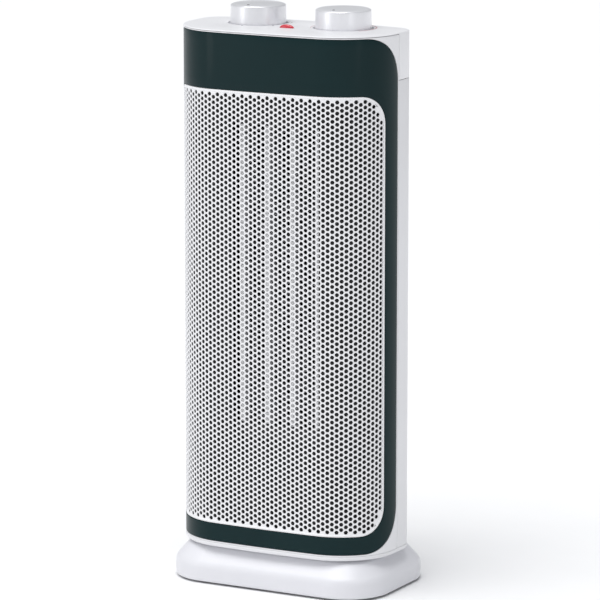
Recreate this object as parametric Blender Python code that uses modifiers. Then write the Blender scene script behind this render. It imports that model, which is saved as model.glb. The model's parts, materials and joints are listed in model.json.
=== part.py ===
"""Fan convector heater: an oscillating tower on a low base, built as separate pieces.

Lengths below are in millimetres and every mesh is written in metres. The origin is the middle of the
base on the floor, +Z is up, +X is the right side seen from the front, and the grille faces -Y.
"""

import math

import bmesh
import bpy
from mathutils import Vector

MM = 0.001
GAP = 0.3

# Base
BASE_HALF_W = 87.0
BASE_HALF_D = 56.5
BASE_CORNER_R = 34.0
BASE_WALL_BOTTOM_Z = 1.8
BASE_WALL_TOP_Z = 14.5
BASE_TOP_Z = 27.0
BASE_CHAMFER_IN = 11.5
BASE_WALL = 2.0
PLATE_THICK = 2.5
FOOT_R = 8.0
FOOT_H = 1.5

# Tower
TOWER_FRONT_Y = -53.5
FRONT_R = 900.0
FRONT_HALF = 42.5
CORNER_R = 44.6
SIDE_LEN = 16.0
REAR_CORNER_R = 16.0
BACK_R = 400.0
FLOOR_Z0 = 28.3
FLOOR_Z1 = 31.5
SKIN_Z0 = 31.8
SEAM_Z = 378.3
COVER_TOP_Z = 412.9
COVER_WALL = 1.6
HOUSING_WALL = 2.0
SKIN_TOP_Z = 411.7
PANEL_S = 112.8
PANEL_Z0 = 32.8
PANEL_Z1 = 410.9
PANEL_R = 33.0
PANEL_THICK = 2.0
SEAT_DEPTH = 2.8
GRILLE_S = 97.2
GRILLE_Z0 = 46.3
GRILLE_Z1 = 369.6
GRILLE_R = 21.0
FRAME_S = 114.5

# Swing drive
SWING_Y = -8.5
CRANK_OFFSET = 24.0
CRANK_THROW = 13.8
CRANK_Y = SWING_Y + CRANK_OFFSET
HUB_R = 12.0
HUB_Z0 = 24.3
ARM_Z0 = 21.5
ARM_Z1 = 24.0

# Tip switch
TIP_X = -46.0
TIP_Y = -28.0

# Fan and heater
FAN_Y = 3.5
DRUM_R = 18.5
SHAFT_R = 2.5
BAR_X = (-31.05, -10.35, 10.35, 31.05)
BAR_W = 3.0
HEATER_Y0 = -28.5
HEATER_Y1 = -18.5
HEATER_Z0 = 120.0
HEATER_Z1 = 342.0

# Controls
KNOB_X = 35.3
KNOB_Y = 4.0
KNOB_R = 20.6
KNOB_Z0 = 410.5
WELL_R = 22.3
WELL_Z = 410.1
WELL_FLOOR = 1.6
KNOB_Z1 = 427.6
LENS_Y = -17.0

for old in list(bpy.data.objects):
    bpy.data.objects.remove(old, do_unlink=True)

parts = bpy.data.collections.new("fan_convector_heater")
bpy.context.scene.collection.children.link(parts)
cutters = bpy.data.collections.new("cutters")
bpy.context.scene.collection.children.link(cutters)


def material(name, colour, metallic=0.0, roughness=0.5):
    mat = bpy.data.materials.new(name)
    mat.use_nodes = True
    shader = mat.node_tree.nodes["Principled BSDF"]
    shader.inputs["Base Color"].default_value = (*colour, 1.0)
    shader.inputs["Metallic"].default_value = metallic
    shader.inputs["Roughness"].default_value = roughness
    return mat


SLOTS = {
    "white_plastic": ((0.82, 0.82, 0.83), 0.0, 0.4),
    "dark_panel": ((0.02, 0.035, 0.038), 0.0, 0.12),
    "grille_plastic": ((0.85, 0.85, 0.86), 0.0, 0.45),
    "silver_knob": ((0.72, 0.72, 0.74), 0.8, 0.25),
    "red_lens": ((0.6, 0.04, 0.06), 0.0, 0.2),
    "black_plastic": ((0.03, 0.03, 0.03), 0.0, 0.5),
    "steel": ((0.6, 0.6, 0.62), 1.0, 0.35),
    "aluminium": ((0.75, 0.75, 0.77), 1.0, 0.35),
    "ceramic": ((0.7, 0.68, 0.62), 0.0, 0.6),
    "rubber": ((0.04, 0.04, 0.04), 0.0, 0.8),
    "copper": ((0.7, 0.35, 0.2), 1.0, 0.4),
}


def finish(name, bm, slot, origin=(0.0, 0.0, 0.0), cutter=False, closed=True):
    """Makes an object from a bmesh in millimetres, with its origin where asked."""
    if closed:
        bmesh.ops.recalc_face_normals(bm, faces=bm.faces[:])
    shift = Vector(origin)
    for v in bm.verts:
        v.co = (v.co - shift) * MM
    mesh = bpy.data.meshes.new(name)
    bm.to_mesh(mesh)
    bm.free()
    obj = bpy.data.objects.new(name, mesh)
    obj.location = shift * MM
    if cutter:
        cutters.objects.link(obj)
        obj.hide_render = True
        obj.display_type = "WIRE"
        return obj
    parts.objects.link(obj)
    colour, metallic, roughness = SLOTS[slot]
    mesh.materials.append(material(name + "_finish", colour, metallic, roughness))
    return obj


def box_into(bm, x0, x1, y0, y1, z0, z1):
    made = bmesh.ops.create_cube(bm, size=1.0)
    for v in made["verts"]:
        v.co.x = x0 if v.co.x < 0 else x1
        v.co.y = y0 if v.co.y < 0 else y1
        v.co.z = z0 if v.co.z < 0 else z1


def box(name, slot, x0, x1, y0, y1, z0, z1, cutter=False):
    bm = bmesh.new()
    box_into(bm, x0, x1, y0, y1, z0, z1)
    return finish(name, bm, slot, cutter=cutter)


def turn_into(bm, profile, x, y, steps, closed=False):
    """Turns a profile of (radius, z) points about the vertical line through x, y."""
    points = [bm.verts.new((x + r, y, z)) for r, z in profile]
    count = len(points)
    edges = [bm.edges.new((points[i], points[i + 1])) for i in range(count - 1)]
    if closed:
        edges.append(bm.edges.new((points[-1], points[0])))
    bmesh.ops.spin(
        bm,
        geom=points + edges,
        cent=(x, y, 0.0),
        axis=(0.0, 0.0, 1.0),
        angle=2.0 * math.pi,
        steps=steps,
        use_merge=True,
    )
    bmesh.ops.remove_doubles(bm, verts=bm.verts[:], dist=0.0005)


def turned(name, slot, profile, x, y, steps=32, closed=False, cutter=False, origin=None):
    bm = bmesh.new()
    turn_into(bm, profile, x, y, steps, closed)
    return finish(name, bm, slot, origin=origin or (0.0, 0.0, 0.0), cutter=cutter)


def disc_profile(r, z0, z1, edge=0.0):
    if edge <= 0.0:
        return [(0.0, z1), (r, z1), (r, z0), (0.0, z0)]
    return [(0.0, z1), (r - edge, z1), (r, z1 - edge), (r, z0 + edge), (r - edge, z0), (0.0, z0)]


def ring_profile(r_in, r_out, z0, z1):
    return [(r_in, z1), (r_out, z1), (r_out, z0), (r_in, z0)]


def cut(target, cutter):
    mod = target.modifiers.new("cut_" + cutter.name, "BOOLEAN")
    mod.operation = "DIFFERENCE"
    mod.solver = "EXACT"
    mod.object = cutter


def join(target, other):
    mod = target.modifiers.new("join_" + other.name, "BOOLEAN")
    mod.operation = "UNION"
    mod.solver = "EXACT"
    mod.object = other


def prism(name, slot, outline, z0, z1, cutter=False, origin=(0.0, 0.0, 0.0)):
    bm = bmesh.new()
    face = bm.faces.new([bm.verts.new((x, y, z0)) for x, y in outline])
    moved = bmesh.ops.extrude_face_region(bm, geom=[face])
    top = [g for g in moved["geom"] if isinstance(g, bmesh.types.BMVert)]
    bmesh.ops.translate(bm, verts=top, vec=(0.0, 0.0, z1 - z0))
    return finish(name, bm, slot, cutter=cutter, origin=origin)


def rounded_rectangle(half_w, half_d, r, arc_steps=8, y_mid=0.0):
    points = []
    for cx, cy, a0 in ((1, -1, -90), (1, 1, 0), (-1, 1, 90), (-1, -1, 180)):
        for i in range(arc_steps + 1):
            a = math.radians(a0 + 90.0 * i / arc_steps)
            points.append(
                (cx * (half_w - r) + r * math.cos(a), y_mid + cy * (half_d - r) + r * math.sin(a))
            )
    return points


# The tower's plan is one smooth line, walked from the middle of the front round to the middle of the back.
CORNER_TURN = 0.5 * math.pi - FRONT_HALF / FRONT_R
TOWER_HALF_W = FRONT_R * math.sin(FRONT_HALF / FRONT_R) + CORNER_R * (1.0 - math.sin(FRONT_HALF / FRONT_R))
BACK_TURN = math.asin((TOWER_HALF_W - REAR_CORNER_R) / (BACK_R - REAR_CORNER_R))
PLAN = (
    (FRONT_HALF, FRONT_R),
    (CORNER_R * CORNER_TURN, CORNER_R),
    (SIDE_LEN, None),
    (REAR_CORNER_R * (0.5 * math.pi - BACK_TURN), REAR_CORNER_R),
    (BACK_R * BACK_TURN, BACK_R),
)
HALF_LOOP = sum(length for length, radius in PLAN)


def plan_point(s, inset=0.0):
    """The plan point at arc length s from the middle of the front, moved inwards by inset."""
    s = (s + HALF_LOOP) % (2.0 * HALF_LOOP) - HALF_LOOP
    side = 1.0 if s >= 0.0 else -1.0
    left = abs(s)
    x = 0.0
    y = TOWER_FRONT_Y
    heading = 0.0
    for length, radius in PLAN:
        step = min(left, length)
        if radius is None:
            x += step * math.cos(heading)
            y += step * math.sin(heading)
        else:
            end = heading + step / radius
            x += radius * (math.sin(end) - math.sin(heading))
            y += radius * (math.cos(heading) - math.cos(end))
            heading = end
        left -= step
        if left <= 0.0:
            break
    return side * (x - inset * math.sin(heading)), y + inset * math.cos(heading)


def plan_stops(s0, s1, spacing_flat=14.0, spacing_round=5.0):
    """Arc lengths from s0 to s1, closer together where the plan bends."""
    breaks = [0.0]
    for length, radius in PLAN:
        breaks.append(breaks[-1] + length)
    stops = {round(s0, 4), round(s1, 4)}
    for sign in (-1, 1):
        for lap in (0.0, 2.0 * HALF_LOOP):
            for i, (length, radius) in enumerate(PLAN):
                spacing = spacing_round if radius is not None and radius < 100.0 else spacing_flat
                count = max(1, round(length / spacing))
                for k in range(count + 1):
                    s = sign * (breaks[i] + length * k / count) + lap
                    if s0 + 1.0 < s < s1 - 1.0:
                        stops.add(round(s, 4))
    ordered = sorted(stops)
    kept = [ordered[0]]
    for s in ordered[1:]:
        if s - kept[-1] > 0.05:
            kept.append(s)
    return kept


def plan_outline(inset=0.0):
    stops = plan_stops(-HALF_LOOP, HALF_LOOP)
    return [plan_point(s, inset) for s in stops[:-1]]


# Outlines drawn on the front skin, as (s, z) loops that all have the same number of points.
SIDE_STEPS = 16
ARC_STEPS = 8


def skin_loop(half_s, z0, z1, r):
    loop = []
    cs = half_s - max(r, 33.0)
    for k in range(SIDE_STEPS):
        loop.append((-cs + 2.0 * cs * k / SIDE_STEPS, z0))
    for quarter, (sx, sz) in enumerate(((1, -1), (1, 1), (-1, 1), (-1, -1))):
        ends = []
        for k in range(ARC_STEPS + 1):
            t = k / ARC_STEPS
            a = math.radians(-90.0 + 90.0 * quarter + 90.0 * t)
            s = sx * (half_s - r) + r * math.cos(a)
            z = (z1 - r if sz > 0 else z0 + r) + r * math.sin(a)
            ends.append((s, z))
        if r < 33.0:
            ends = corner_path(half_s, z0, z1, r, quarter)
        loop.extend(ends)
        if quarter == 1:
            for k in range(1, SIDE_STEPS):
                loop.append((cs - 2.0 * cs * k / SIDE_STEPS, z1))
    return loop


def corner_path(half_s, z0, z1, r, quarter):
    """A corner of radius r as ARC_STEPS + 1 points that start and end 33 mm from the square corner."""
    sx = 1 if quarter in (0, 1) else -1
    sz = 1 if quarter in (1, 2) else -1
    corner = (sx * half_s, z1 if sz > 0 else z0)
    reach = 33.0
    straight = reach - r
    arc = 0.5 * math.pi * r
    total = 2.0 * straight + arc
    horizontal_first = quarter in (0, 2)
    points = []
    for k in range(ARC_STEPS + 1):
        d = total * k / ARC_STEPS
        if d <= straight:
            across, along = reach - d, 0.0
        elif d >= straight + arc:
            across, along = 0.0, d - straight - arc + r
        else:
            a = (d - straight) / max(r, 1e-9)
            across = r * (1.0 - math.sin(a))
            along = r * (1.0 - math.cos(a))
        if not horizontal_first:
            across, along = along, across
        points.append((corner[0] - sx * across, corner[1] - sz * along))
    return points


def skin_body(name, slot, stations, closed=True):
    """Bridges loops drawn on the front skin. Each station is (loop, inset, rings before the next one)."""
    bm = bmesh.new()
    rows = []
    count = len(stations)
    for i in range(count):
        loop, inset, rings = stations[i]
        nxt, nxt_inset, unused = stations[(i + 1) % count]
        for k in range(rings):
            t = k / rings
            row = []
            for (s, z), (s2, z2) in zip(loop, nxt):
                x, y = plan_point(s + (s2 - s) * t, inset + (nxt_inset - inset) * t)
                row.append(bm.verts.new((x, y, z + (z2 - z) * t)))
            rows.append(row)
    size = len(rows[0])
    for i in range(len(rows)):
        a = rows[i]
        b = rows[(i + 1) % len(rows)]
        for k in range(size):
            m = (k + 1) % size
            bm.faces.new((a[k], a[m], b[m], b[k]))
    return finish(name, bm, slot)


def wall(name, slot, stops, z_levels, thick):
    """An open wall that follows the tower's plan, then Solidify gives it its thickness inwards."""
    bm = bmesh.new()
    rows = []
    for s in stops:
        x, y = plan_point(s)
        rows.append([bm.verts.new((x, y, z)) for z in z_levels])
    for a, b in zip(rows, rows[1:]):
        for k in range(len(z_levels) - 1):
            bm.faces.new((a[k], b[k], b[k + 1], a[k + 1]))
    obj = finish(name, bm, slot, closed=False)
    thicken(obj, thick)
    return obj


def thicken(obj, thick):
    mod = obj.modifiers.new("thickness", "SOLIDIFY")
    mod.thickness = thick * MM
    mod.offset = -1.0
    mod.use_even_offset = True
    mod.use_rim = True


# ---------------------------------------------------------------- base
def base_cover():
    bm = bmesh.new()
    rows = []
    for inset, z in ((0.0, BASE_WALL_BOTTOM_Z), (0.0, BASE_WALL_TOP_Z), (BASE_CHAMFER_IN, BASE_TOP_Z)):
        outline = rounded_rectangle(BASE_HALF_W - inset, BASE_HALF_D - inset, BASE_CORNER_R - inset)
        rows.append([bm.verts.new((x, y, z)) for x, y in outline])
    hole = []
    for k in range(len(outline)):
        a = math.radians(-45.0 + (k - 4) * 360.0 / len(outline))
        hole.append(bm.verts.new((12.6 * math.cos(a), SWING_Y + 12.6 * math.sin(a), BASE_TOP_Z)))
    rows.append(hole)
    size = len(hole)
    for a, b in zip(rows, rows[1:]):
        for k in range(size):
            m = (k + 1) % size
            bm.faces.new((a[k], a[m], b[m], b[k]))
    obj = finish("base_cover", bm, "white_plastic", closed=False)
    thicken(obj, BASE_WALL)
    return obj


cover = base_cover()
BOSSES = ((-64.0, -36.0), (64.0, -36.0), (64.0, 36.0), (-64.0, 36.0))
for i, (bx, by) in enumerate(BOSSES):
    boss = turned("boss_%d" % i, None, disc_profile(4.0, 4.6, 26.0), bx, by, 16, cutter=True)
    join(cover, boss)
bm = bmesh.new()
for bx, by in BOSSES:
    turn_into(bm, disc_profile(1.6, 3.0, 20.0), bx, by, 12)
cut(cover, finish("boss_holes", bm, None, cutter=True))


def across_y(name, slot, profile, x, z, y_mid, steps=24, closed=True, cutter=False):
    """A turned piece whose axis runs along Y: profile points are (radius, y from y_mid)."""
    bm = bmesh.new()
    turn_into(bm, profile, 0.0, 0.0, steps, closed)
    for v in bm.verts:
        v.co = Vector((x + v.co.x, y_mid + v.co.z, z - v.co.y))
    return finish(name, bm, slot, cutter=cutter)


CORD_Z = 9.4
cut(cover, across_y("cord_hole", None, disc_profile(5.0, -6.0, 6.0), 0.0, CORD_Z, BASE_HALF_D, closed=False, cutter=True))
across_y(
    "cord_inlet_bush",
    "rubber",
    [(3.5, 0.0), (4.7, 0.0), (4.7, -7.0), (3.5, -7.0)],
    0.0,
    CORD_Z,
    BASE_HALF_D,
)

plate = prism(
    "base_plate",
    "steel",
    rounded_rectangle(BASE_HALF_W - 2.4, BASE_HALF_D - 2.4, BASE_CORNER_R - 2.4),
    BASE_WALL_BOTTOM_Z,
    BASE_WALL_BOTTOM_Z + PLATE_THICK,
)
bm = bmesh.new()
for bx, by in BOSSES:
    turn_into(bm, disc_profile(1.6, 0.0, 6.0), bx, by, 12)
turn_into(bm, disc_profile(3.4, 0.0, 6.0), TIP_X, TIP_Y, 16)
cut(plate, finish("plate_holes", bm, None, cutter=True))

FEET = {
    "foot_front_left": (-66.0, -20.0),
    "foot_front_right": (66.0, -20.0),
    "foot_rear_left": (-66.0, 20.0),
    "foot_rear_right": (66.0, 20.0),
}
for name, (fx, fy) in FEET.items():
    turned(name, "rubber", disc_profile(FOOT_R, 0.0, FOOT_H, 0.3), fx, fy, 24)

BASE_SCREW = [(0.0, 17.0), (1.25, 16.0), (1.25, 1.5), (3.0, 1.5), (3.0, 0.5), (0.0, 0.5)]
for i, (bx, by) in enumerate(BOSSES):
    turned("base_screw_%d" % (i + 1), "steel", BASE_SCREW, bx, by, 12)

motor = turned(
    "swing_motor",
    "steel",
    [(0.0, 16.6), (6.0, 16.6), (6.0, 15.4), (21.0, 15.4), (21.0, 4.6), (0.0, 4.6)],
    0.0,
    CRANK_Y,
    32,
)
cut(motor, turned("motor_bore", None, disc_profile(2.8, 9.0, 18.0), 0.0, CRANK_Y, 16, cutter=True))

switch = box("tip_switch_body", "black_plastic", TIP_X - 9.0, TIP_X + 9.0, TIP_Y - 7.0, TIP_Y + 7.0, 4.6, 18.0)
cut(switch, turned("tip_bore", None, disc_profile(4.8, 3.0, 15.5), TIP_X, TIP_Y, 20, cutter=True))
turned(
    "glide_washer",
    "black_plastic",
    ring_profile(13.0, 32.0, 27.3, 28.0),
    0.0,
    SWING_Y,
    40,
    closed=True,
)

# ---------------------------------------------------------------- swing crank and tip plunger
crank = turned(
    "crank_disc",
    "white_plastic",
    [(0.0, 19.5), (16.5, 19.5), (16.5, 17.0), (2.5, 17.0), (2.5, 10.0), (0.0, 10.0)],
    0.0,
    CRANK_Y,
    32,
    origin=(0.0, CRANK_Y, 17.0),
)
join(crank, turned("crank_pin", None, disc_profile(2.5, 18.5, 23.5), 0.0, CRANK_Y + CRANK_THROW, 16, cutter=True))

turned(
    "tip_plunger",
    "black_plastic",
    [(0.0, 10.3), (4.4, 10.3), (4.4, 8.9), (3.0, 8.9), (3.0, 0.8), (2.4, 0.2), (0.0, 0.2)],
    TIP_X,
    TIP_Y,
    20,
    origin=(TIP_X, TIP_Y, 0.0),
)

# ---------------------------------------------------------------- tower shell
floor = prism("tower_floor", "white_plastic", plan_outline(), FLOOR_Z0, FLOOR_Z1, origin=(0.0, SWING_Y, FLOOR_Z0))
join(floor, turned("hub", None, disc_profile(HUB_R, HUB_Z0, 30.0), 0.0, SWING_Y, 32, cutter=True))
cut(floor, turned("hub_bore", None, disc_profile(4.0, 20.0, 40.0), 0.0, SWING_Y, 16, cutter=True))
ARM_SCREWS = ((-8.0, -12.0), (8.0, -12.0))
bm = bmesh.new()
for ax, ay in ARM_SCREWS:
    turn_into(bm, disc_profile(1.5, 20.0, 30.5), ax, ay, 12)
cut(floor, finish("hub_screw_holes", bm, None, cutter=True))

arm_outline = []
for k in range(17):
    a = math.radians(180.0 + 180.0 * k / 16.0)
    arm_outline.append((16.0 * math.cos(a), SWING_Y + 16.0 * math.sin(a)))
for k in range(13):
    a = math.radians(180.0 * k / 12.0)
    arm_outline.append((8.5 * math.cos(a), SWING_Y + 37.5 + 8.5 * math.sin(a)))
arm = prism("retainer_arm", "steel", arm_outline, ARM_Z0, ARM_Z1)
slot_outline = []
for k in range(9):
    a = math.radians(180.0 + 180.0 * k / 8.0)
    slot_outline.append((3.8 * math.cos(a), SWING_Y + 23.0 + 3.8 * math.sin(a)))
for k in range(9):
    a = math.radians(180.0 * k / 8.0)
    slot_outline.append((3.8 * math.cos(a), SWING_Y + 38.5 + 3.8 * math.sin(a)))
cut(arm, prism("arm_slot", None, slot_outline, 20.0, 26.0, cutter=True))
bm = bmesh.new()
for ax, ay in ARM_SCREWS:
    turn_into(bm, disc_profile(1.5, 20.0, 26.0), ax, ay, 12)
turn_into(bm, disc_profile(4.0, 20.0, 26.0), 0.0, SWING_Y, 16)
cut(arm, finish("arm_holes", bm, None, cutter=True))
ARM_SCREW = [(0.0, 30.0), (1.2, 30.0), (1.2, 21.2), (2.8, 21.2), (2.8, 20.2), (0.0, 20.2)]
for i, (ax, ay) in enumerate(ARM_SCREWS):
    turned("arm_screw_%d" % (i + 1), "steel", ARM_SCREW, ax, ay, 12)

housing = wall(
    "rear_housing",
    "white_plastic",
    plan_stops(FRAME_S + GAP, 2.0 * HALF_LOOP - FRAME_S - GAP),
    (SKIN_Z0, SEAM_Z),
    HOUSING_WALL,
)
bm = bmesh.new()
for k in range(14):
    z = 120.0 + 8.0 * k
    box_into(bm, -45.0, -2.5, 20.0, 36.0, z, z + 3.4)
    box_into(bm, 2.5, 45.0, 20.0, 36.0, z, z + 3.4)
cut(housing, finish("intake_slots", bm, None, cutter=True))


def top_cover():
    bm = bmesh.new()
    stops = plan_stops(FRAME_S + GAP, 2.0 * HALF_LOOP - FRAME_S - GAP)
    front = plan_stops(-FRAME_S - GAP, FRAME_S + GAP)
    low = []
    high = []
    for s in stops:
        x, y = plan_point(s)
        low.append(bm.verts.new((x, y, SEAM_Z + GAP)))
        high.append(bm.verts.new((x, y, COVER_TOP_Z)))
    for k in range(len(stops) - 1):
        bm.faces.new((low[k], low[k + 1], high[k + 1], high[k]))
    rest = [bm.verts.new((*plan_point(s), COVER_TOP_Z)) for s in front[1:-1]]
    bm.faces.new(high + rest)
    obj = finish("top_cover", bm, "white_plastic", closed=False)
    thicken(obj, COVER_WALL)
    return obj


cap = top_cover()
for side in (-1, 1):
    well = disc_profile(WELL_R + WELL_FLOOR, WELL_Z - WELL_FLOOR, COVER_TOP_Z - 0.8)
    join(cap, turned("knob_well_%d" % side, None, well, side * KNOB_X, KNOB_Y, 48, cutter=True))
    sunk = disc_profile(WELL_R, WELL_Z, 416.0)
    cut(cap, turned("knob_sink_%d" % side, None, sunk, side * KNOB_X, KNOB_Y, 48, cutter=True))
bm = bmesh.new()
for side in (-1, 1):
    turn_into(bm, disc_profile(3.6, 407.0, 416.0), side * KNOB_X, KNOB_Y, 20)
box_into(bm, -5.8, 5.8, LENS_Y - 1.8, LENS_Y + 1.8, 408.0, 416.0)
cut(cap, finish("cover_holes", bm, None, cutter=True))
front_stops = plan_stops(-FRAME_S - GAP, FRAME_S + GAP)
clearance = [plan_point(s, -3.0) for s in front_stops] + [plan_point(s, 9.0) for s in reversed(front_stops)]
cut(cap, prism("front_clearance", None, clearance, 370.0, SKIN_TOP_Z + 0.35, cutter=True))

frame_outer = skin_loop(FRAME_S, SKIN_Z0, SKIN_TOP_Z, 0.0)
panel_outer = skin_loop(PANEL_S, PANEL_Z0, PANEL_Z1, PANEL_R)
panel_seat = skin_loop(PANEL_S + GAP, PANEL_Z0 - GAP, PANEL_Z1 + GAP, PANEL_R + GAP)
panel_window = skin_loop(GRILLE_S + GAP, GRILLE_Z0 - GAP, GRILLE_Z1 + GAP, GRILLE_R + GAP)
air_window = skin_loop(84.0, 56.0, 360.0, 14.0)
skin_body(
    "front_frame",
    "white_plastic",
    (
        (frame_outer, 0.0, 2),
        (panel_seat, 0.0, 1),
        (panel_seat, SEAT_DEPTH, 3),
        (air_window, SEAT_DEPTH, 1),
        (air_window, SEAT_DEPTH + 1.7, 3),
        (frame_outer, SEAT_DEPTH + 1.7, 1),
    ),
)
skin_body(
    "front_panel",
    "dark_panel",
    (
        (panel_outer, 0.0, 2),
        (panel_window, 0.0, 1),
        (panel_window, PANEL_THICK, 2),
        (panel_outer, PANEL_THICK, 1),
    ),
)


def grille():
    """The louvre insert: a plain curved plate with rounded corners, one column of faces per stop."""
    bm = bmesh.new()
    straight = GRILLE_S - GRILLE_R
    stops = [straight * k / 8.0 for k in range(-8, 9)]
    for k in range(1, 8):
        reach = straight + GRILLE_R * math.sin(math.radians(90.0 * k / 7.0))
        stops = [-reach] + stops + [reach]
    rows = []
    for s in stops:
        past = max(0.0, abs(s) - straight)
        drop = GRILLE_R - math.sqrt(max(0.0, GRILLE_R**2 - past**2))
        row = []
        for inset, z in ((0.0, GRILLE_Z0 + drop), (0.0, GRILLE_Z1 - drop), (2.0, GRILLE_Z1 - drop), (2.0, GRILLE_Z0 + drop)):
            x, y = plan_point(s, inset)
            row.append(bm.verts.new((x, y, z)))
        rows.append(row)
    for a, b in zip(rows, rows[1:]):
        for k in range(4):
            m = (k + 1) % 4
            bm.faces.new((a[k], b[k], b[m], a[m]))
    bm.faces.new(rows[0])
    bm.faces.new(rows[-1])
    return finish("front_grille", bm, "grille_plastic")


grille()

# ---------------------------------------------------------------- lamp, controls
box("indicator_lens", "red_lens", -5.4, 5.4, LENS_Y - 1.4, LENS_Y + 1.4, 409.5, 415.0)
turned("indicator_lamp", "red_lens", disc_profile(2.2, 396.0, 409.0), 0.0, LENS_Y, 16)
for name, x in (("selector_switch", -KNOB_X), ("thermostat", KNOB_X)):
    body = box(name, "black_plastic", x - 15.0, x + 15.0, KNOB_Y - 12.0, KNOB_Y + 12.0, 382.0, 402.0)
    neck = turned(name + "_neck", None, disc_profile(6.0, 400.0, WELL_Z - WELL_FLOOR - 0.4), x, KNOB_Y, 20, cutter=True)
    join(body, neck)
    cut(body, turned(name + "_bore", None, disc_profile(3.3, 391.0, 415.0), x, KNOB_Y, 20, cutter=True))

for knob_name, shaft_name, x in (
    ("selector_knob", "selector_shaft", -KNOB_X),
    ("thermostat_knob", "thermostat_shaft", KNOB_X),
):
    knob = turned(
        knob_name,
        "silver_knob",
        [
            (0.0, KNOB_Z1),
            (12.0, KNOB_Z1 - 0.35),
            (KNOB_R - 1.8, KNOB_Z1 - 1.1),
            (KNOB_R - 0.7, KNOB_Z1 - 2.0),
            (KNOB_R - 0.4, KNOB_Z1 - 3.2),
            (KNOB_R - 0.2, KNOB_Z0 + 1.6),
            (KNOB_R + 0.5, KNOB_Z0 + 1.4),
            (KNOB_R + 0.5, KNOB_Z0),
            (0.0, KNOB_Z0),
        ],
        x,
        KNOB_Y,
        48,
        origin=(x, KNOB_Y, KNOB_Z0),
    )
    cut(knob, turned(knob_name + "_bore", None, disc_profile(3.3, 405.0, 422.4), x, KNOB_Y, 20, cutter=True))
    turned(shaft_name, "steel", disc_profile(3.0, 391.5, 422.0, 0.4), x, KNOB_Y, 20, origin=(x, KNOB_Y, KNOB_Z0))

# ---------------------------------------------------------------- heater pack
box("heater_holder_bottom", "ceramic", -35.0, 35.0, HEATER_Y0 - 1.5, HEATER_Y1 + 1.5, HEATER_Z0 - 12.0, HEATER_Z0 - GAP)
box("heater_holder_top", "ceramic", -35.0, 35.0, HEATER_Y0 - 1.5, HEATER_Y1 + 1.5, HEATER_Z1 + GAP, HEATER_Z1 + 12.0)
for i, x in enumerate(BAR_X):
    box("heater_bar_%d" % (i + 1), "aluminium", x - BAR_W / 2, x + BAR_W / 2, HEATER_Y0, HEATER_Y1, HEATER_Z0, HEATER_Z1)


def heater_shroud():
    """A shallow black dish from the frame's air window in to the heater."""
    bm = bmesh.new()
    front = []
    back = []
    mid_z = 0.5 * (HEATER_Z0 + HEATER_Z1)
    half_z = 0.5 * (HEATER_Z1 - HEATER_Z0) + 13.0
    window = skin_loop(82.0, 58.0, 358.0, 14.0)
    for s, z in window:
        x, y = plan_point(s, 5.2)
        front.append(bm.verts.new((x, y, z)))
        back.append(bm.verts.new((s * 36.5 / 82.0, -31.5, mid_z + (z - 208.0) * half_z / 150.0)))
    for k in range(len(front)):
        m = (k + 1) % len(front)
        bm.faces.new((front[k], back[k], back[m], front[m]))
    obj = finish("heater_shroud", bm, "black_plastic", closed=False)
    mod = obj.modifiers.new("thickness", "SOLIDIFY")
    mod.thickness = 0.8 * MM
    mod.offset = -1.0
    mod.use_rim = True


heater_shroud()


def fin_pack(index):
    x0 = BAR_X[index] + BAR_W / 2 + 0.6
    x1 = BAR_X[index + 1] - BAR_W / 2 - 0.6
    bm = bmesh.new()
    folds = 56
    rows = []
    for k in range(folds + 1):
        z = HEATER_Z0 + 1.0 + (HEATER_Z1 - HEATER_Z0 - 2.0) * k / folds
        x = x0 if k % 2 == 0 else x1
        rows.append([bm.verts.new((x, y, z)) for y in (HEATER_Y0 + 0.5, HEATER_Y1 - 0.5)])
    for a, b in zip(rows, rows[1:]):
        bm.faces.new((a[0], a[1], b[1], b[0]))
    obj = finish("fin_pack_%d" % (index + 1), bm, "aluminium", closed=False)
    mod = obj.modifiers.new("thickness", "SOLIDIFY")
    mod.thickness = 0.4 * MM
    mod.offset = 0.0
    mod.use_rim = True


for i in range(3):
    fin_pack(i)
box("thermal_cutout", "black_plastic", -8.0, 8.0, HEATER_Y0, HEATER_Y1, 354.3, 359.5)

# ---------------------------------------------------------------- fan
duct_line = [(-37.0, -15.0)]
for k in range(17):
    a = math.radians(180.0 - 180.0 * k / 16.0)
    duct_line.append((22.0 * math.cos(a), FAN_Y + 22.0 * math.sin(a)))
duct_line.append((37.0, -15.0))
bm = bmesh.new()
rows = [[bm.verts.new((x, y, z)) for z in (108.0, 345.0)] for x, y in duct_line]
for a, b in zip(rows, rows[1:]):
    bm.faces.new((a[0], a[1], b[1], b[0]))
duct = finish("fan_duct", bm, "black_plastic", closed=False)
mod = duct.modifiers.new("thickness", "SOLIDIFY")
mod.thickness = 1.2 * MM
mod.offset = 0.0
mod.use_even_offset = True
cut(duct, box("duct_intake", None, -13.0, 13.0, FAN_Y + 15.0, FAN_Y + 30.0, 122.0, 326.0, cutter=True))

plate_low = box("motor_bracket", "steel", -34.0, 34.0, -14.0, 25.5, 104.4, 107.4)
cut(plate_low, turned("lower_seat", None, disc_profile(7.3, 100.0, 112.0), 0.0, FAN_Y, 24, cutter=True))
plate_high = box("duct_top", "black_plastic", -34.0, 34.0, -14.0, 25.5, 345.4, 348.0)
cut(plate_high, turned("upper_seat", None, disc_profile(7.3, 340.0, 352.0), 0.0, FAN_Y, 24, cutter=True))
turned("lower_bearing", "copper", ring_profile(SHAFT_R + GAP, 7.0, 103.4, 108.6), 0.0, FAN_Y, 24, closed=True)
turned("upper_bearing", "copper", ring_profile(SHAFT_R + GAP, 7.0, 344.0, 349.4), 0.0, FAN_Y, 24, closed=True)
turned("fan_motor_stator", "copper", ring_profile(11.4, 20.0, 76.0, 103.0), 0.0, FAN_Y, 32, closed=True)

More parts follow.
